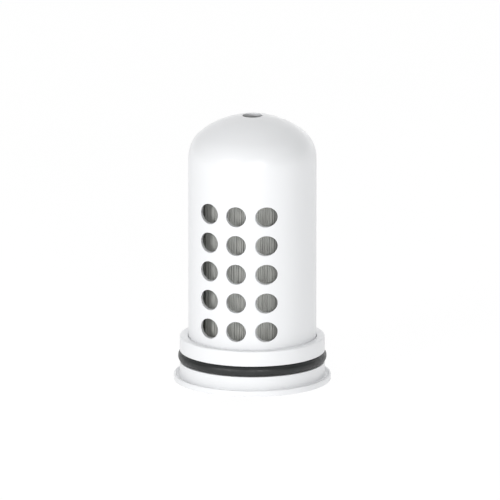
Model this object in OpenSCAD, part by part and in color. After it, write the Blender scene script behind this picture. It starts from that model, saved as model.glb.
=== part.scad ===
// Pump water filter cartridge: a perforated dome housing on a sealed collar, with looped hollow
// fibres potted in resin inside. Millimetres, +Z up, origin at the centre of the collar's underside.
// The two perforated panels face -Y and +Y.

/* [Housing] */
// Outer diameter of the housing tube
body_d = 36; // [34:0.5:37]
// Wall thickness of the tube and dome
wall = 1.5; // [1.2:0.1:1.6]
// Height of the dome's apex above the underside of the flange
apex_h = 76.1; // [74:0.1:80]
// Radius of the dome's shallow crown
crown_r = 23.3; // [22:0.1:26]
// Radius of the round shoulder between the tube and the crown
knuckle_r = 9; // [8:0.1:10]
// Diameter of the vent in the crown, at its outer edge
vent_d = 5.6; // [3:0.1:7]
// How much the vent's radius grows inwards, per millimetre of depth
vent_flare = 0.4; // [0:0.1:1.2]

/* [Perforations] */
// Diameter of each side hole, seen along the mould's draw
hole_d = 5.7; // [4:0.1:6.5]
// Distance between hole centres, across and up
hole_pitch = 8.25; // [7:0.05:8.6]
// Holes across each panel
hole_cols = 3; // [1:1:3]
// Holes up each panel
hole_rows = 5; // [1:1:5]
// Height of the lowest row's centres
first_row_z = 17.6; // [16.5:0.05:20]

/* [Collar] */
// Diameter of the collar's sealing lands
collar_d = 40.8; // [40:0.1:41.4]
// Height of the collar
collar_h = 12.65; // [12.4:0.05:13]
// Diameter of the flange at the foot
flange_d = 44.2; // [43.6:0.1:48]
// Thickness of the flange where it meets the collar
flange_t = 0.5; // [0.4:0.1:1]
// Height of the flange's raised lip
lip_h = 1.7; // [1.5:0.1:2.5]
// Width of the lip's crest
lip_t = 0.5; // [0.4:0.1:0.9]
// Depth of the socket that holds the tube
socket_depth = 2.5; // [2:0.1:3]
// Diameter of the recess round the outlet face
outlet_d = 32; // [31.5:0.1:33]
// Depth of the recess round the outlet face
outlet_depth = 2; // [1:0.1:3]
// Diameter of the collar's bore, which the resin fills
bore_d = 31; // [28:0.1:31]

/* [Seal ring] */
// Thickness of the ring's round cord
cord_d = 3; // [2.6:0.1:3]
// How far the ring stands proud of the collar
seal_proud = 0.5; // [0.3:0.05:0.6]
// Width of the ring's groove
groove_w = 3.05; // [3.05:0.05:3.2]
// Height of the ring's centre
seal_z = 6.8; // [6:0.1:7]

/* [Fibres] */
// Hanks in the bundle's outer ring
outer_hanks = 10; // [8:1:12]
// Hanks in its middle ring
middle_hanks = 7; // [6:1:9]
// Hanks in its core
core_hanks = 6; // [4:1:6]
// Radial room between the bundle and the housing
bundle_room = 3; // [0.8:0.1:3.6]
// Room between the hanks' loops and the dome
loop_room = 1.1; // [0.8:0.1:2]
// Free gap between neighbouring hanks
hank_gap = 0.25; // [0.1:0.05:0.4]
// Diameter of the eye under each hank's loop
eye_d = 1.2; // [0.6:0.1:1.6]
// Width of the tape that binds the bundle at the resin
tape_w = 1.4; // [1:0.1:1.6]
// Thickness of that tape
tape_t = 0.4; // [0.2:0.05:0.5]

/* [Hidden] */
$fn = 96;
beyond = 1;             // how far a cutting shape runs past what it cuts
socket_gap = 0.05;      // radial glue gap between the tube and its socket
edge_chamfer = 0.3;     // broken edges of the collar
lip_chamfer = 0.2;      // and of its lip's outer edge
potting_below_rim = 0.3; // the resin stops just under the collar's rim
tape_gap = 0.05;        // between the tape and the bundle, and again above the resin
layer_t = 3.6;          // radial thickness of the outer and middle rings of hanks
layer_gap = 0.2;        // radial gap between the rings
core_hole_r = 1.2;      // the hollow that the loops leave along the axis

body_r = body_d / 2;
inner_r = body_r - wall;
collar_r = collar_d / 2;
flange_r = flange_d / 2;
bore_r = bore_d / 2;
outlet_r = outlet_d / 2;
lip_inner_r = flange_r - lip_t;
socket_z = collar_h - socket_depth;
socket_r = body_r + socket_gap;
groove_r = collar_r + seal_proud - cord_d;
seal_r = groove_r + cord_d / 2;

// The crown's arc is centred on the axis and runs tangent into the shoulder's arc,
// which runs tangent into the tube.
crown_z = apex_h - crown_r;
knuckle_x = body_r - knuckle_r;
dome_z = crown_z + sqrt(pow(crown_r - knuckle_r, 2) - pow(knuckle_x, 2));
tangent_angle = atan2(knuckle_x, dome_z - crown_z); // from the axis

vent_r = vent_d / 2;
vent_z = crown_z + sqrt(pow(crown_r, 2) - pow(vent_r, 2));
vent_reach = 2 * wall; // how deep the vent's cone goes, past the dome's inner face

// Height of the dome's inner face at the radius r.
function inside_z(r) = r > knuckle_x + (knuckle_r - wall) * sin(tangent_angle)
    ? dome_z + sqrt(pow(knuckle_r - wall, 2) - pow(r - knuckle_x, 2))
    : crown_z + sqrt(pow(crown_r - wall, 2) - r * r);

// The rings of hanks, from the outside in, and the radii between which each one lies.
bundle_r = inner_r - bundle_room;
potting_top = collar_h - potting_below_rim;
ring_names = ["outer", "middle", "core"];
ring_counts = [outer_hanks, middle_hanks, core_hanks];
ring_outer_r = [for (ring = [0:2]) bundle_r - ring * (layer_t + layer_gap)];
ring_inner_r = [ring_outer_r[0] - layer_t, ring_outer_r[1] - layer_t, core_hole_r];

function hank_name(ring, i) = str("fibre_hank_", ring_names[ring], "_", i < 9 ? "0" : "", i + 1);
hank_list = [for (ring = [0:2]) for (i = [0:ring_counts[ring] - 1]) [ring, i]];

// Half section of the housing's outline from the height base up, moved inwards by inset.
module housing_outline(inset, base) {
    reach = 2 * crown_r;
    knuckle = [knuckle_x, dome_z];
    tangent = reach * [sin(tangent_angle), cos(tangent_angle)];
    translate([0, base])
        square([body_r - inset, dome_z - base]);
    intersection() {
        translate(knuckle)
            circle(knuckle_r - inset);
        polygon([knuckle, knuckle + [reach, 0], knuckle + [reach, reach], knuckle + tangent]);
    }
    intersection() {
        translate([0, crown_z])
            circle(crown_r - inset);
        polygon([[0, dome_z], knuckle, knuckle + tangent, [0, crown_z + reach]]);
    }
}

// The perforations of both panels: each drill passes right through, along the mould's draw.
module perforations() {
    for (col = [0:hole_cols - 1], row = [0:hole_rows - 1])
        translate([(col - (hole_cols - 1) / 2) * hole_pitch, 0, first_row_z + row * hole_pitch])
            rotate([90, 0, 0])
                cylinder(h = body_d + 2 * beyond, d = hole_d, center = true);
}

module dome_housing() {
    color("white")
        difference() {
            rotate_extrude()
                difference() {
                    housing_outline(0, socket_z);
                    housing_outline(wall, socket_z - beyond);
                }
            perforations();
            translate([0, 0, vent_z - vent_reach])
                cylinder(h = vent_reach + beyond,
                    r1 = vent_r + vent_flare * vent_reach, r2 = vent_r - vent_flare * beyond);
        }
}

// The flange rises outwards to its lip, so that it forms a gutter round the collar.
module seal_collar() {
    c = edge_chamfer;
    groove_bottom = seal_z - groove_w / 2;
    groove_top = seal_z + groove_w / 2;
    color("whitesmoke")
        rotate_extrude()
            polygon([
                [outlet_r, 0], [flange_r - c, 0], [flange_r, c],
                [flange_r, lip_h - lip_chamfer], [flange_r - lip_chamfer, lip_h],
                [lip_inner_r, lip_h], [collar_r, flange_t],
                [collar_r, groove_bottom], [groove_r, groove_bottom],
                [groove_r, groove_top], [collar_r, groove_top],
                [collar_r, collar_h - c], [collar_r - c, collar_h], [socket_r, collar_h],
                [socket_r, socket_z], [bore_r, socket_z],
                [bore_r, outlet_depth], [outlet_r, outlet_depth]
            ]);
}

module o_ring() {
    color([0.16, 0.17, 0.17])
        rotate_extrude()
            translate([seal_r, seal_z])
                circle(d = cord_d);
}

// Cast resin that holds the fibres' ends and bonds the tube to the collar.
module potting_block() {
    color([0.86, 0.83, 0.72])
        rotate_extrude()
            polygon([
                [0, outlet_depth], [bore_r, outlet_depth], [bore_r, socket_z],
                [inner_r, socket_z], [inner_r, potting_top], [0, potting_top]
            ]);
}

module bundle_tape() {
    color([0.9, 0.9, 0.88])
        rotate_extrude()
            translate([bundle_r + tape_gap, potting_top + tape_gap])
                square([tape_t, tape_w]);
}

// Outline of a folded hank seen along the radius: two legs, the loop and the eye under it.
module loop_outline(width, top) {
    bend_z = top - width / 2;
    difference() {
        union() {
            translate([-width / 2, potting_top])
                square([width, bend_z - potting_top]);
            translate([0, bend_z])
                circle(d = width);
        }
        translate([-hank_gap / 2, potting_top - beyond])
            square([hank_gap, bend_z - potting_top + beyond]);
        translate([0, bend_z])
            circle(d = eye_d);
    }
}

// One hank of fibres, folded in half: a wedge of its ring, rounded over at the top.
module fibre_hank(ring, i) {
    r1 = ring_inner_r[ring];
    r2 = ring_outer_r[ring];
    top = inside_z(r2) - loop_room;
    turn = 360 / ring_counts[ring];
    half_turn = turn / 2 - asin(hank_gap / 2 / r2);
    color([0.72, 0.72, 0.68])
        rotate([0, 0, turn * i - 90])
            intersection() {
                rotate([0, 0, -half_turn])
                    rotate_extrude(angle = 2 * half_turn)
                        translate([r1, potting_top - beyond])
                            square([r2 - r1, top - potting_top + 2 * beyond]);
                rotate([90, 0, 90])
                    linear_extrude(r2 + beyond)
                        loop_outline(2 * r2 * tan(half_turn), top);
            }
}

dome_housing();
seal_collar();
o_ring();
potting_block();
bundle_tape();
for (h = hank_list)
    fibre_hank(h[0], h[1]);
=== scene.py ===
"""Looks of the pump water filter cartridge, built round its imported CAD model.

Lengths are in millimetres up to Mesh.build(), which makes metres of them. The frame is the CAD's:
+Z up the axis, and the two perforated panels face -Y and +Y.
"""

import math
import random

import bmesh
import bpy
from mathutils import Matrix, Vector, geometry


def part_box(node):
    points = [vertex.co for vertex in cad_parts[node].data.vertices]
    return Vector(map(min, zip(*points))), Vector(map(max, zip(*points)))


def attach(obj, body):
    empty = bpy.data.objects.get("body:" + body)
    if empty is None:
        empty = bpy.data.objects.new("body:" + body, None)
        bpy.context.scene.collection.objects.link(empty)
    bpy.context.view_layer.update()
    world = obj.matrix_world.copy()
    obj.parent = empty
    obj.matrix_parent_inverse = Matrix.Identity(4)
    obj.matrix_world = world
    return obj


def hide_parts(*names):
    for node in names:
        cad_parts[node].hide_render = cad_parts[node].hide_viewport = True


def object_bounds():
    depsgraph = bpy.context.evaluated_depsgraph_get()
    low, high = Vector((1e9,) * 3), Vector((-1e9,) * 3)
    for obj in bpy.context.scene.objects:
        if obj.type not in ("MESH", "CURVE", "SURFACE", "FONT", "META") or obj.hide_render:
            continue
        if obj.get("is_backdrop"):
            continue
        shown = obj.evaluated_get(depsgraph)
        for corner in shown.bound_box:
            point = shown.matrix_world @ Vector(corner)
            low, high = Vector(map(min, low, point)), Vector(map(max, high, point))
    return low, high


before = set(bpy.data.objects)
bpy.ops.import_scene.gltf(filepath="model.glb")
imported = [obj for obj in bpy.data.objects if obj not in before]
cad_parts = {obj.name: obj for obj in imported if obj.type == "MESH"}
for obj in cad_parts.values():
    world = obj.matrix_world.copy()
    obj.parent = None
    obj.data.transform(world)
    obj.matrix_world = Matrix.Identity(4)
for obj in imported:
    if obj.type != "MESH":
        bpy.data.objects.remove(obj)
cad_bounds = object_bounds()
MM = 0.001
TURN = 2 * math.pi


def box_mm(node):
    """Lowest and highest corner of a CAD node, in millimetres."""
    low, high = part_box(node)
    return low / MM, high / MM


# ---------------------------------------------------------------- sizes

housing_low, housing_high = box_mm("dome_housing")
_, collar_high = box_mm("seal_collar")
ring_low, ring_high = box_mm("o_ring")
potting_low, potting_high = box_mm("potting_block")
tape_low, tape_high = box_mm("bundle_tape")

BODY_R = housing_high.x
INNER_R = potting_high.x          # the resin fills the tube
WALL = BODY_R - INNER_R
KNUCKLE_R = 9.0                   # round shoulder between the tube and the crown
CROWN_R = 23.3
VENT_R = 2.8
VENT_INNER_R = 3.44               # the vent flares inwards
KNUCKLE_X = BODY_R - KNUCKLE_R
CROWN_Z = housing_high.z - math.sqrt(CROWN_R ** 2 - VENT_R ** 2)
DOME_Z = CROWN_Z + math.sqrt((CROWN_R - KNUCKLE_R) ** 2 - KNUCKLE_X ** 2)
TANGENT = math.atan2(KNUCKLE_X, DOME_Z - CROWN_Z)
VENT_INNER_Z = CROWN_Z + math.sqrt((CROWN_R - WALL) ** 2 - VENT_INNER_R ** 2)

HOLE_R = 2.85
PITCH = 8.25
COLUMNS, ROWS = 3, 5
FIRST_ROW_Z = 17.6
PANEL_X = COLUMNS * PITCH / 2     # a panel's half width
PANEL_LOW = FIRST_ROW_Z - PITCH / 2
PANEL_HIGH = PANEL_LOW + ROWS * PITCH
EDGE = 0.14                       # radius of the rounded edges of holes and vent

COLLAR_R = 20.4
FLANGE_R = collar_high.x
FLANGE_T = 0.5
LIP_H = 1.7                       # raised lip round the flange
LIP_T = 0.5
LIP_INNER_R = FLANGE_R - LIP_T
RIM_Z = collar_high.z
SOCKET_GAP = 0.05                 # glue gap between the tube and its socket
SOCKET_R = BODY_R + SOCKET_GAP
SOCKET_Z = housing_low.z
CORD_R = (ring_high.z - ring_low.z) / 2
SEAL_Z = (ring_high.z + ring_low.z) / 2
SEAL_R = ring_high.x - CORD_R
GROOVE_R = ring_high.x - 2 * CORD_R
GROOVE_HALF = 1.525
BORE_R = 15.5
OUTLET_R = 16.0
OUTLET_Z = potting_low.z
TAPE_T = 0.4

FIBRE_R = 0.27
FIBRE_SIDES = 6
FIBRE_STEP = 0.52                 # between the centres of neighbouring fibres in a layer
LAYER_STEP = FIBRE_STEP * 0.9     # and between the layers
LEG_STEPS, LOOP_STEPS = 13, 10
LUMEN_R = 0.15                    # the bore of a hollow fibre
RESIN_BORDER = 0.9                # plain resin round the fibres' cut ends
FAN_OUT = (BORE_R - RESIN_BORDER) / (tape_high.x - TAPE_T)  # the bundle spreads inside the resin
PLAIN_TINT = 0.5                  # a fibre's shade runs from 0, dark, to 1, light

FLOOR_GLOW = 0.925                # brightness of the white studio floor


# ---------------------------------------------------------------- mesh building

class Mesh:
    """Faces gathered from grids of points in millimetres. Equal points become one vertex."""

    def __init__(self):
        self.points = []
        self.faces = []
        self.slots = []
        self.tints = []

    def add(self, points, faces, slot=0, tint=None):
        start = len(self.points)
        self.points.extend(points)
        self.faces.extend(tuple(start + i for i in face) for face in faces)
        self.slots.extend([slot] * len(faces))
        if tint is not None:
            self.tints.extend([tint] * len(points))

    def grid(self, rows, closed=False, slot=0, tint=None):
        """Quads between neighbouring rows of points; closed joins each row's end to its start."""
        width = len(rows[0])
        steps = width if closed else width - 1
        faces = [
            (i * width + k, i * width + (k + 1) % width,
             (i + 1) * width + (k + 1) % width, (i + 1) * width + k)
            for i in range(len(rows) - 1)
            for k in range(steps)
        ]
        self.add([p for row in rows for p in row], faces, slot, tint)

    def build(self, name, materials, weld=True, outward=True):
        """Makes the object, in metres and smooth shaded."""
        data = bpy.data.meshes.new(name)
        data.from_pydata([Vector(p) * MM for p in self.points], [], self.faces)
        for material in materials:
            data.materials.append(material)
        data.polygons.foreach_set("material_index", self.slots)
        if self.tints:
            layer = data.attributes.new("tint", "FLOAT", "POINT")
            layer.data.foreach_set("value", self.tints)
        if weld or outward:
            work = bmesh.new()
            work.from_mesh(data)
            if weld:
                bmesh.ops.remove_doubles(work, verts=work.verts, dist=1e-6)
            if outward:
                bmesh.ops.recalc_face_normals(work, faces=work.faces)
            work.to_mesh(data)
            work.free()
        data.shade_smooth()
        piece = bpy.data.objects.new(name, data)
        bpy.context.scene.collection.objects.link(piece)
        return piece


def finish_piece(piece, slot, *nodes):
    """The piece stands for its CAD nodes and rides on the one body."""
    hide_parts(*nodes)
    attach(piece, "root")


def spread(first, last, steps):
    return [first + (last - first) * i / steps for i in range(steps + 1)]


def turned(radius, angle, z):
    """A point round the axis; angle 0 is -Y and a quarter turn is +X."""
    return (radius * math.sin(angle), -radius * math.cos(angle), z)


def lathe(profile, segments):
    """Rows of points of a revolved profile [(radius, z), ...]."""
    return [[turned(r, TURN * k / segments, z) for k in range(segments)] for r, z in profile]


def rounded(corners, steps=5):
    """A closed profile from [(radius, z, fillet), ...], with each corner replaced by an arc."""
    profile = []
    for i, (r, z, fillet) in enumerate(corners):
        here = Vector((r, z))
        before = (Vector(corners[i - 1][:2]) - here).normalized()
        after = (Vector(corners[(i + 1) % len(corners)][:2]) - here).normalized()
        half = before.angle(after) / 2
        centre = here + (before + after).normalized() * fillet / math.sin(half)
        start = here + before * fillet / math.tan(half) - centre
        end = here + after * fillet / math.tan(half) - centre
        sweep = start.angle_signed(end)
        for k in range(steps + 1):
            arm = Matrix.Rotation(-sweep * k / steps, 2) @ start
            profile.append(tuple(centre + arm))
    return profile


def subdivided(profile, longest):
    """The closed profile with its long edges cut, so that shading and bump stay even."""
    finer = []
    for a, b in zip(profile, profile[1:] + profile[:1]):
        pieces = max(1, math.ceil(math.dist(a, b) / longest))
        finer += [tuple(Vector(a).lerp(Vector(b), k / pieces)) for k in range(pieces)]
    return finer


# ---------------------------------------------------------------- housing

CELL_STEPS = 12                   # mesh steps along one side of a hole's square cell
SIDE_STEPS = 44                   # and along each plain side, between the panels
EDGE_STEPS = 4                    # round a hole's or the vent's edge
FOOT_STEPS = 5                    # below the panels
TOP_STEPS = 12                    # above them, up to the shoulder
SHOULDER_STEPS, CROWN_STEPS = 18, 20
FLARE_STEPS = 6


def cell_outline():
    """Steps round a cell: (place on the unit square, angle on the hole's circle)."""
    corners = [(1, 1), (-1, 1), (-1, -1), (1, -1)]
    outline = []
    for side in range(4):
        a, b = Vector(corners[side]), Vector(corners[(side + 1) % 4])
        for k in range(CELL_STEPS):
            place = a.lerp(b, k / CELL_STEPS)
            outline.append((place, TURN * (1 / 8 + (side + k / CELL_STEPS) / 4)))
    return outline


def perforated_cell(mesh, x, z, side):
    """One square of a panel with its hole: outer face, rounded lip, wall of the hole, inner face."""
    outline = cell_outline()

    def ring(share, radius, surface_r, sunk):
        """Share 0 is the circle of that radius, 1 the cell's border. Sunk goes in from the surface."""
        points = []
        for place, angle in outline:
            circle = Vector((math.cos(angle), math.sin(angle))) * radius
            flat = circle.lerp(place * PITCH / 2, share)
            depth = math.sqrt(surface_r ** 2 - (x + flat.x) ** 2) - sunk
            points.append((x + flat.x, side * depth, z + flat.y))
        return points

    shares = (1, 0.62, 0.3, 0.08)  # finer towards the hole
    bend = [math.pi / 2 * k / EDGE_STEPS for k in range(EDGE_STEPS + 1)]
    outer = [ring(share, HOLE_R + EDGE, BODY_R, 0) for share in shares]
    outer += [ring(0, HOLE_R + EDGE * (1 - math.sin(a)), BODY_R, EDGE * (1 - math.cos(a))) for a in bend]
    inner = [ring(0, HOLE_R + EDGE * (1 - math.sin(a)), INNER_R, -EDGE * (1 - math.cos(a)))
             for a in reversed(bend)]
    inner += [ring(share, HOLE_R + EDGE, INNER_R, 0) for share in reversed(shares)]
    middle = [
        [tuple(Vector(a).lerp(Vector(b), share)) for a, b in zip(outer[-1], inner[0])]
        for share in (0.1, 0.5, 0.9)
    ]
    mesh.grid(outer + middle + inner, closed=True)


def column_angles(radius):
    """Angles of the mesh's columns at a surface radius: front panel, side, back panel, side."""
    edge = math.asin(PANEL_X / radius)
    across = spread(-PANEL_X, PANEL_X, COLUMNS * CELL_STEPS)
    panel = [math.asin(x / radius) for x in across[:-1]]
    plain = spread(edge, math.pi - edge, SIDE_STEPS)[:-1]
    half = panel + plain
    return half + [a + math.pi for a in half]


def side_angles(radius, turn):
    edge = math.asin(PANEL_X / radius)
    return [turn + a for a in spread(edge, math.pi - edge, SIDE_STEPS)]


def dome_profile(inset, mouth_r):
    """Shoulder and crown, moved inwards by inset, from the tube up to the radius mouth_r."""
    vent_angle = math.asin(mouth_r / (CROWN_R - inset))
    shoulder = [
        (KNUCKLE_X + (KNUCKLE_R - inset) * math.sin(a), DOME_Z + (KNUCKLE_R - inset) * math.cos(a))
        for a in spread(math.pi / 2, TANGENT, SHOULDER_STEPS)
    ]
    crown = [
        ((CROWN_R - inset) * math.sin(a), CROWN_Z + (CROWN_R - inset) * math.cos(a))
        for a in spread(TANGENT, vent_angle, CROWN_STEPS)
    ]
    return shoulder + crown[1:]


def build_housing(material):
    mesh = Mesh()
    for side in (-1, 1):
        for column in range(COLUMNS):
            for row in range(ROWS):
                x = (column - (COLUMNS - 1) / 2) * PITCH
                perforated_cell(mesh, x, FIRST_ROW_Z + row * PITCH, side)
    panel_z = spread(PANEL_LOW, PANEL_HIGH, ROWS * CELL_STEPS)
    for radius in (BODY_R, INNER_R):
        for turn in (0, math.pi):
            mesh.grid([[turned(radius, a, z) for a in side_angles(radius, turn)] for z in panel_z])

    def loop(r, z, surface_r):
        return [turned(r, a, z) for a in column_angles(surface_r)]

    foot = [(BODY_R, z) for z in spread(PANEL_LOW, SOCKET_Z, FOOT_STEPS)]
    inner_foot = [(INNER_R, z) for z in spread(SOCKET_Z, PANEL_LOW, FOOT_STEPS)]
    mesh.grid([loop(r, z, BODY_R) for r, z in foot] + [loop(r, z, INNER_R) for r, z in inner_foot],
              closed=True)

    straight = spread(PANEL_HIGH, DOME_Z, TOP_STEPS)[:-1]
    outside = [(BODY_R, z) for z in straight] + dome_profile(0, VENT_R + EDGE)
    inside = [(INNER_R, z) for z in straight] + dome_profile(WALL, VENT_INNER_R + EDGE)
    top_z = outside[-1][1]
    bend = [math.pi / 2 * k / EDGE_STEPS for k in range(1, EDGE_STEPS + 1)]
    lip = [(VENT_R + EDGE * (1 - math.sin(a)), top_z - EDGE * (1 - math.cos(a))) for a in bend]
    edge_z = lip[-1][1]
    flare = [(VENT_R + (VENT_INNER_R - VENT_R) * k / FLARE_STEPS,
              edge_z + (VENT_INNER_Z - edge_z) * k / FLARE_STEPS)
             for k in range(1, FLARE_STEPS + 1)]
    mesh.grid(
        [loop(r, z, BODY_R) for r, z in outside + lip + flare]
        + [loop(r, z, INNER_R) for r, z in inside[::-1]],
        closed=True,
    )
    return mesh.build("dome_housing_shell", [material])


# ---------------------------------------------------------------- collar and seal

def build_collar(material):
    longest_edge, segments = 0.6, 192
    corners = [                   # (radius, z, fillet)
        (OUTLET_R, 0, 0.2), (FLANGE_R, 0, 0.3),
        (FLANGE_R, LIP_H, 0.22), (LIP_INNER_R, LIP_H, 0.15), (COLLAR_R, FLANGE_T, 0.45),
        (COLLAR_R, SEAL_Z - GROOVE_HALF, 0.1), (GROOVE_R, SEAL_Z - GROOVE_HALF, 0.15),
        (GROOVE_R, SEAL_Z + GROOVE_HALF, 0.15), (COLLAR_R, SEAL_Z + GROOVE_HALF, 0.1),
        (COLLAR_R, RIM_Z, 0.35), (SOCKET_R, RIM_Z, 0.3),
        (SOCKET_R, SOCKET_Z, 0.05), (BORE_R, SOCKET_Z, 0.05),
        (BORE_R, OUTLET_Z, 0.05), (OUTLET_R, OUTLET_Z, 0.05),
    ]
    profile = subdivided(rounded(corners), longest_edge)
    mesh = Mesh()
    mesh.grid(lathe(profile + profile[:1], segments), closed=True)
    return mesh.build("seal_collar_body", [material])


def build_o_ring(material):
    """The cord's section is pressed a little square where it stands in the groove."""
    squareness, squeeze = 2.25, 0.985  # a circle has a squareness of 2
    steps, segments = 48, 224
    profile = []
    for k in range(steps):
        angle = TURN * k / steps
        c, s = math.cos(angle), math.sin(angle)
        reach = squeeze * CORD_R / (abs(c) ** squareness + abs(s) ** squareness) ** (1 / squareness)
        profile.append((SEAL_R + reach * c, SEAL_Z + reach * s))
    mesh = Mesh()
    mesh.grid(lathe(profile + profile[:1], segments), closed=True)
    return mesh.build("o_ring_seal", [material])


# ---------------------------------------------------------------- fibres

def hank_nodes():
    """{ring name: [its CAD nodes in order]}"""
    rings = {}
    for node in sorted(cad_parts):
        if node.startswith("fibre_hank_"):
            rings.setdefault(node.split("_")[2], []).append(node)
    return rings


class Hank:
    """A folded hank: where its wedge of the bundle lies, and its fibres' legs."""

    def __init__(self, node, first_node, index, count):
        low, high = box_mm(node)
        first_low, first_high = box_mm(first_node)
        self.node = node
        self.angle = TURN * index / count
        self.half_turn = math.pi / count
        self.outer_r = -first_low.y
        self.inner_r = -first_high.y / math.cos(self.half_turn)
        self.foot_z = low.z
        self.top_z = high.z
        self.bend_z = high.z - self.outer_r * math.tan(self.half_turn)
        self.random = random.Random(node)
        self.fibres = list(self.place_fibres())

    def place_fibres(self):
        """(radius, half spacing of its two legs) of each fibre, in staggered layers."""
        side_gap = 0.3            # from a leg to the next hank
        layers = int((self.outer_r - self.inner_r) / LAYER_STEP)
        for layer in range(layers):
            radius = self.outer_r - FIBRE_R - layer * LAYER_STEP
            room = radius * self.half_turn - side_gap
            stagger = FIBRE_STEP * (0.5 + 0.5 * (layer % 2))
            for k in range(max(0, int((room - stagger) / FIBRE_STEP) + 1)):
                yield radius, stagger + k * FIBRE_STEP

    def path(self, radius, spacing):
        """A fibre's route (radius, sideways, z): up one leg, round the loop and down the other."""
        rnd = self.random
        jitter, sway = 0.06, (0.08, 0.04)
        tightest = 0.9            # radius of the smallest loop
        bend_reach = 8            # the legs close up or part over this length below their loop
        sunk = 0.3                # of the foot, in the resin
        radius += rnd.uniform(-jitter, jitter)
        waves = [
            [(rnd.uniform(0.4, 1) * size, TURN / rnd.uniform(16, 42), rnd.uniform(0, TURN))
             for size in sway]
            for _ in range(4)
        ]
        loop_room = self.top_z - self.bend_z - FIBRE_R
        loop_r = min(max(spacing, tightest), loop_room) + rnd.uniform(-0.15, 0.05)

        def wander(wave, z):
            return sum(size * math.sin(pace * z + phase) for size, pace, phase in wave)

        def leg(side, radial, sideways, start, end):
            for z in spread(start, end, LEG_STEPS):
                near_bend = max(0, 1 - (self.bend_z - z) / bend_reach) ** 2
                offset = spacing + (loop_r - spacing) * near_bend
                yield radius + wander(radial, z), side * offset + wander(sideways, z), z

        route = list(leg(-1, waves[0], waves[1], self.foot_z - sunk, self.bend_z))
        for a in spread(math.pi, 0, LOOP_STEPS)[1:-1]:
            route.append((radius + wander(waves[0], self.bend_z), loop_r * math.cos(a),
                          self.bend_z + loop_r * math.sin(a)))
        return route + list(leg(1, waves[2], waves[3], self.bend_z, self.foot_z - sunk))

    def build(self, material):
        """Every fibre as a closed tube. Its tint is its zone's, with a little of its own."""
        past_outline = 0.1        # how far a fibre may stray out of the bundle's outline
        turns = [TURN * k / FIBRE_SIDES for k in range(FIBRE_SIDES)]
        mesh = Mesh()
        for radius, spacing in self.fibres:
            thickness = FIBRE_R * self.random.uniform(0.93, 1.07)
            places = []
            for r, sideways, z in self.path(radius, spacing):
                angle = self.angle + sideways / r
                r = min(r, self.outer_r + past_outline)
                places.append((Vector(turned(r, angle, z)), Vector(turned(1, angle, 0))))
            rows = []
            for i, (point, out) in enumerate(places):
                ahead = places[min(i + 1, len(places) - 1)][0] - places[max(i - 1, 0)][0]
                across = ahead.normalized().cross(out).normalized()
                rows.append([point + thickness * (math.cos(a) * out + math.sin(a) * across)
                             for a in turns])
            zone = math.sin(7 * self.angle + 2.1 * spacing + 1.7 * radius)
            tint = PLAIN_TINT + 0.3 * zone + self.random.uniform(-0.2, 0.2)
            mesh.grid(rows, closed=True, tint=tint)
            for end in (rows[0], rows[-1][::-1]):
                mesh.add(end, [tuple(range(FIBRE_SIDES))], tint=PLAIN_TINT)
        return mesh.build(self.node.replace("hank", "loops"), [material], weld=False, outward=True)

    def cut_ends(self):
        """Where the hank's fibres come out of the resin's lower face."""
        for radius, spacing in self.fibres:
            for side in (-1, 1):
                angle = self.angle + side * spacing / radius
                shift = self.random.uniform(-0.05, 0.05)
                yield turned(radius * FAN_OUT + shift, angle, 0)[:2]


# ---------------------------------------------------------------- resin and binding

def build_potting(resin, membrane, lumen, ends):
    """A cast block. Each fibre's cut end shows in its lower face, open. Its bore is a short closed tube,
    painted near black as painted shade for the depth of the hollow fibre.
    """
    mesh = Mesh()
    segments, sides = 160, 8      # round the block and round a fibre's end
    meniscus = 0.25               # how far the resin has crept up the wall
    top_z = potting_high.z
    side = [
        (BORE_R, OUTLET_Z), (BORE_R, SOCKET_Z), (INNER_R, SOCKET_Z), (INNER_R, top_z),
        (INNER_R - 0.3, top_z - meniscus * 0.7), (INNER_R - 1, top_z - meniscus),
        (INNER_R * 0.5, top_z - meniscus), (0.5, top_z - meniscus),
    ]
    rows = lathe(side, segments)
    mesh.grid(rows, closed=True, tint=PLAIN_TINT)
    mesh.add(rows[-1], [tuple(range(segments))], tint=PLAIN_TINT)

    outlines, edges, owner = [], [], []

    def outline(x, y, radius, count, kind):
        start = len(outlines)
        for k in range(count):
            angle = TURN * k / count
            outlines.append(Vector((x + radius * math.sin(angle), y - radius * math.cos(angle))))
            edges.append((start + k, start + (k + 1) % count))
            owner.append(kind)

    outline(0, 0, BORE_R, segments, None)
    for number, (x, y) in enumerate(ends):
        outline(x, y, FIBRE_R, sides, ("wall", number))
        outline(x, y, LUMEN_R, sides, ("lumen", number))
    points, _, faces, sources, _, _ = geometry.delaunay_2d_cdt(outlines, edges, [], 0, 1e-7)
    kinds = [owner[found[0]] if found else None for found in sources]
    flat = [(p.x, p.y, OUTLET_Z) for p in points]
    plain, walls = [], []
    for face in faces:
        touched = [kinds[i] for i in face]
        if all(kind and kind[0] == "lumen" for kind in touched):
            continue
        numbers = {kind[1] if kind else None for kind in touched}
        within = len(numbers) == 1 and None not in numbers and any(k[0] == "lumen" for k in touched)
        (walls if within else plain).append(tuple(face))
    mesh.add(flat, plain, slot=0, tint=PLAIN_TINT)
    mesh.add(flat, walls, slot=1, tint=PLAIN_TINT)
    depth = 0.8                   # how far down each fibre's bore is modelled; its walls and closed end carry the painted shade
    turns = [TURN * k / sides for k in range(sides)]
    for x, y in ends:
        mouth = [(x + LUMEN_R * math.sin(a), y - LUMEN_R * math.cos(a), OUTLET_Z) for a in turns]
        deep = [(px, py, pz + depth) for px, py, pz in mouth]
        mesh.grid([mouth, deep], closed=True, slot=2, tint=PLAIN_TINT)
        mesh.add(deep, [tuple(range(sides))], slot=2, tint=PLAIN_TINT)
    return mesh.build("potting_resin", [resin, membrane, lumen])


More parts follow.
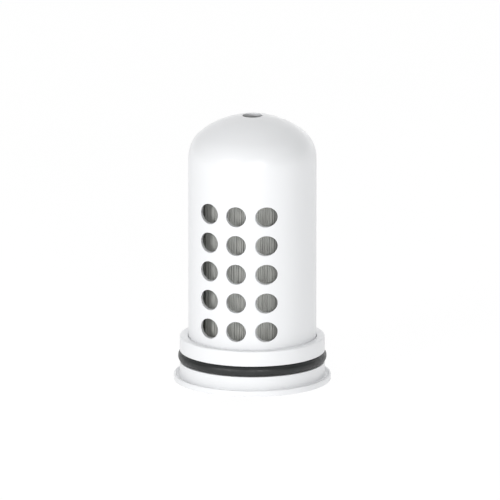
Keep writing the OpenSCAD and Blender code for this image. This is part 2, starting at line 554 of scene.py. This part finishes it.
def build_tape(material):
    """Turns of binding thread side by side, which cover the CAD band."""
    turns, steps, segments = 5, 12, 160
    overlap = 1.08                # each turn of thread is pressed against the next
    centre = tape_high.x - TAPE_T / 2
    height = (tape_high.z - tape_low.z) / turns
    angles = [TURN * k / steps for k in range(steps)]
    mesh = Mesh()
    for turn in range(turns):
        z = tape_low.z + (turn + 0.5) * height
        profile = [(centre + TAPE_T / 2 * math.cos(a), z + overlap * height / 2 * math.sin(a))
                   for a in angles]
        mesh.grid(lathe(profile + profile[:1], segments), closed=True)
    return mesh.build("bundle_binding", [material])


# ---------------------------------------------------------------- materials

class Nodes:
    """A material's node tree, with short calls for the nodes used here."""

    def __init__(self, name):
        self.material = bpy.data.materials.new(name)
        self.material.use_nodes = True
        self.tree = self.material.node_tree
        self.shader = self.tree.nodes["Principled BSDF"]
        self.where = self.new("ShaderNodeTexCoord").outputs["Object"]

    def new(self, kind, **settings):
        node = self.tree.nodes.new(kind)
        for key, value in settings.items():
            setattr(node, key, value)
        return node

    def link(self, source, target):
        self.tree.links.new(source, target)

    def set(self, **values):
        """Constants on the shader's own sockets; an underscore stands for a space."""
        for key, value in values.items():
            self.shader.inputs[key.replace("_", " ")].default_value = value

    def stretched(self, scale):
        node = self.new("ShaderNodeMapping")
        node.inputs["Scale"].default_value = scale
        self.link(self.where, node.inputs["Vector"])
        return node.outputs["Vector"]

    def noise(self, scale, detail=3.0, roughness=0.5, vector=None):
        node = self.new("ShaderNodeTexNoise")
        node.inputs["Scale"].default_value = scale
        node.inputs["Detail"].default_value = detail
        node.inputs["Roughness"].default_value = roughness
        self.link(vector or self.where, node.inputs["Vector"])
        return node.outputs["Fac"]

    def span(self, value, low, high, first=0.0, last=1.0):
        """Maps value from first..last to low..high."""
        node = self.new("ShaderNodeMapRange")
        node.inputs["From Min"].default_value = first
        node.inputs["From Max"].default_value = last
        node.inputs["To Min"].default_value = low
        node.inputs["To Max"].default_value = high
        self.link(value, node.inputs["Value"])
        return node.outputs["Result"]

    def maths(self, operation, a, b):
        node = self.new("ShaderNodeMath", operation=operation)
        for socket, value in zip(node.inputs, (a, b)):
            if isinstance(value, (int, float)):
                socket.default_value = value
            else:
                self.link(value, socket)
        return node.outputs["Value"]

    def ramp(self, value, *stops):
        """A colour ramp from (position, (r, g, b)) stops."""
        node = self.new("ShaderNodeValToRGB")
        elements = node.color_ramp.elements
        while len(elements) < len(stops):
            elements.new(0.5)
        for element, (position, colour) in zip(elements, stops):
            element.position = position
            element.color = (*colour, 1)
        self.link(value, node.inputs["Fac"])
        return node.outputs["Color"]

    def colour(self, value):
        self.link(value, self.shader.inputs["Base Color"])

    def roughness(self, value):
        self.link(value, self.shader.inputs["Roughness"])

    def bump(self, *layers):
        """Bump from (height, depth in millimetres) layers, the first one lowest."""
        normal = None
        for height, depth in layers:
            node = self.new("ShaderNodeBump")
            node.inputs["Strength"].default_value = 1.0
            node.inputs["Distance"].default_value = depth * MM
            self.link(height, node.inputs["Height"])
            if normal:
                self.link(normal, node.inputs["Normal"])
            normal = node.outputs["Normal"]
        self.link(normal, self.shader.inputs["Normal"])


def white_plastic(name):
    """Injection-moulded white plastic: faint flow marks, fine spark texture, a soft sheen."""
    tone, gloss = (0.797, 0.806, 0.818), 0.34
    m = Nodes(name)
    dim = tuple(c * 0.985 for c in tone)
    bright = tuple(min(1, c * 1.01) for c in tone)
    flow = m.noise(60, detail=4, vector=m.stretched((1, 1, 0.35)))
    m.colour(m.ramp(flow, (0.3, dim), (0.7, bright)))
    scuffs = m.noise(420, detail=6, roughness=0.65)
    m.roughness(m.span(scuffs, gloss - 0.05, gloss + 0.09, 0.3, 0.75))
    m.bump((m.noise(95, detail=2), 0.012), (m.noise(5200, detail=2), 0.0012))
    m.set(Specular_IOR_Level=0.45, IOR=1.49)
    return m.material


def black_rubber():
    m = Nodes("seal_rubber")
    bloom = m.noise(150, detail=5, roughness=0.6)
    m.colour(m.ramp(bloom, (0.3, (0.008, 0.009, 0.009)), (0.75, (0.018, 0.020, 0.020))))
    m.roughness(m.span(m.noise(900, detail=4), 0.36, 0.56, 0.3, 0.7))
    m.bump((m.noise(260, detail=3), 0.012), (m.noise(4200, detail=3, roughness=0.6), 0.003))
    m.set(IOR=1.5)
    return m.material


def membrane_fibre():
    """Matt membrane: each fibre has its own shade, with fine streaks along it."""
    m = Nodes("membrane_fibre")
    own = m.new("ShaderNodeAttribute", attribute_name="tint").outputs["Fac"]
    streak = m.noise(900, detail=3, vector=m.stretched((1, 1, 0.06)))
    shade = m.maths("ADD", m.span(own, 0.0, 0.75), m.span(streak, 0.0, 0.25, 0.3, 0.7))
    m.colour(m.ramp(shade, (0.0, (0.40, 0.402, 0.382)), (0.5, (0.495, 0.50, 0.477)),
                    (1.0, (0.58, 0.59, 0.562))))
    m.roughness(m.span(m.noise(2500, detail=2), 0.5, 0.75, 0.3, 0.7))
    m.bump((m.noise(3200, detail=3), 0.01))
    m.set(Specular_IOR_Level=0.3)
    return m.material


def cast_resin():
    m = Nodes("potting_resin")
    cloud = m.noise(220, detail=4, roughness=0.6)
    m.colour(m.ramp(cloud, (0.3, (0.62, 0.55, 0.38)), (0.7, (0.74, 0.68, 0.52))))
    m.roughness(m.span(m.noise(1500, detail=4, vector=m.stretched((1, 0.08, 1))), 0.22, 0.42, 0.3, 0.7))
    m.bump((m.noise(1800, detail=3, vector=m.stretched((1, 0.05, 1))), 0.004))
    m.set(IOR=1.5, Subsurface_Weight=0.15, Subsurface_Scale=0.001)
    return m.material


def lumen_painted_shade():
    # Painted shade: the near-black walls and end of each fibre's short bore stand in for the shade deep
    # inside the open hollow fibre.
    m = Nodes("fibre_lumen_painted_shade")
    m.colour(m.ramp(m.noise(2500), (0.3, (0.02, 0.02, 0.018)), (0.7, (0.05, 0.05, 0.045))))
    m.roughness(m.span(m.noise(3000), 0.7, 0.9))
    return m.material


def binding_thread():
    m = Nodes("binding_tape")
    ply = m.noise(1400, detail=4, roughness=0.7)
    m.colour(m.ramp(ply, (0.3, (0.5, 0.5, 0.46)), (0.7, (0.72, 0.72, 0.68))))
    m.roughness(m.span(ply, 0.75, 0.95))
    m.bump((ply, 0.04))
    return m.material


def pale_floor():
    m = Nodes("studio_floor")
    m.colour(m.ramp(m.noise(3), (0.3, (0.10, 0.10, 0.10)), (0.7, (0.11, 0.11, 0.11))))
    m.roughness(m.span(m.noise(20), 0.85, 0.95))
    m.set(Specular_IOR_Level=0.0, Emission_Color=(1, 1, 1, 1), Emission_Strength=FLOOR_GLOW)
    return m.material


# ---------------------------------------------------------------- object

fibre = membrane_fibre()

finish_piece(build_housing(white_plastic("housing_plastic")), "housing_plastic", "dome_housing")
finish_piece(build_collar(white_plastic("collar_plastic")), "collar_plastic", "seal_collar")
finish_piece(build_o_ring(black_rubber()), "seal_rubber", "o_ring")

cut_ends = []
for nodes in hank_nodes().values():
    for index, node in enumerate(nodes):
        hank = Hank(node, nodes[0], index, len(nodes))
        finish_piece(hank.build(fibre), "membrane_fibre", node)
        cut_ends += hank.cut_ends()
potting = build_potting(cast_resin(), fibre, lumen_painted_shade(), cut_ends)
finish_piece(potting, "potting_resin", "potting_block")
finish_piece(build_tape(binding_thread()), "binding_tape", "bundle_tape")


# ---------------------------------------------------------------- stage, light and camera

def place_floor():
    """A large square, a hair below the part, so that the two faces don't coincide."""
    reach, sunk = 12000.0, 0.02
    corners = ((-1, -1), (1, -1), (1, 1), (-1, 1))
    mesh = Mesh()
    mesh.add([(x * reach, y * reach, -sunk) for x, y in corners], [(0, 1, 2, 3)])
    mesh.build("studio_floor", [pale_floor()], weld=False, outward=False)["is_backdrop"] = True


def camera_axes(azimuth, elevation):
    """Unit vectors to the camera's right, up, and back towards it."""
    a, e = math.radians(azimuth), math.radians(elevation)
    back = Vector((math.sin(a) * math.cos(e), -math.cos(a) * math.cos(e), math.sin(e)))
    right = Vector((math.cos(a), math.sin(a), 0))
    return right, back.cross(right), back


def place_camera():
    azimuth, elevation = 15.0, 13.35
    lens, sensor = 1000, 36       # so long that there is hardly any perspective
    view_width = 140.45           # what the frame spans at the object
    aim_height, aside = 37.1, 0.66
    right, _, back = camera_axes(azimuth, elevation)
    aim = Vector((0, 0, aim_height)) - right * aside
    camera = bpy.data.objects.new("camera", bpy.data.cameras.new("camera"))
    camera.data.lens = lens
    camera.data.sensor_width = sensor
    camera.location = (aim + back * view_width * lens / sensor) * MM
    camera.rotation_euler = back.to_track_quat("Z", "Y").to_euler()
    camera.data.clip_start, camera.data.clip_end = 0.05, 40
    bpy.context.scene.collection.objects.link(camera)
    bpy.context.scene.camera = camera


def area_light(name, azimuth, elevation, power):
    """A softbox that faces the middle of the object; lengths in metres."""
    distance, width, height = 1.0, 0.3, 0.1
    target = Vector((0, 0, 0.038))
    _, _, back = camera_axes(azimuth, elevation)
    light = bpy.data.objects.new(name, bpy.data.lights.new(name, "AREA"))
    light.data.shape = "RECTANGLE"
    light.data.size, light.data.size_y = width, height
    light.data.energy = power
    light.location = target + back * distance
    light.rotation_euler = back.to_track_quat("Z", "Y").to_euler()
    bpy.context.scene.collection.objects.link(light)


def light_studio():
    """A white room, bright behind and above, with two softboxes in front and dark sides.

    The dark sides draw the edges of the white object. The room is white at the horizon all round.
    """
    behind, above = 1.53, 0.87    # strengths
    tilt = math.radians(7)        # the light from above leans towards -X
    horizon = 0.07                # half height of the white band, as a sine
    world = bpy.data.worlds.new("studio")
    world.use_nodes = True
    tree = world.node_tree
    parts = tree.nodes.new("ShaderNodeSeparateXYZ")
    tree.links.new(tree.nodes.new("ShaderNodeTexCoord").outputs["Generated"], parts.inputs[0])

    def maths(operation, *values):
        node = tree.nodes.new("ShaderNodeMath")
        node.operation = operation
        for socket, value in zip(node.inputs, values):
            if isinstance(value, (int, float)):
                socket.default_value = value
            else:
                tree.links.new(value, socket)
        return node.outputs[0]

    def lobe(direction, strength):
        return maths("MULTIPLY", maths("MULTIPLY", direction, direction), strength)

    x, y, z = parts.outputs
    up = maths("ADD", maths("MULTIPLY", z, math.cos(tilt)), maths("MULTIPLY", x, -math.sin(tilt)))
    room = maths("ADD", lobe(maths("MAXIMUM", y, 0), behind), lobe(up, above))
    room = maths("ADD", room, maths("LESS_THAN", maths("ABSOLUTE", z), horizon))
    tree.links.new(room, tree.nodes["Background"].inputs["Strength"])
    tree.nodes["Background"].inputs["Color"].default_value = (1, 1, 1, 1)
    bpy.context.scene.world = world
    area_light("key_left", -25, 12, 3.6)
    area_light("key_right", 25, 12, 3.4)


place_floor()
place_camera()
light_studio()
bpy.context.scene.view_settings.view_transform = "Standard"

boxes = {"cad": cad_bounds, "visual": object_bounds()}
{name: [list(corner) for corner in box] for name, box in boxes.items()}
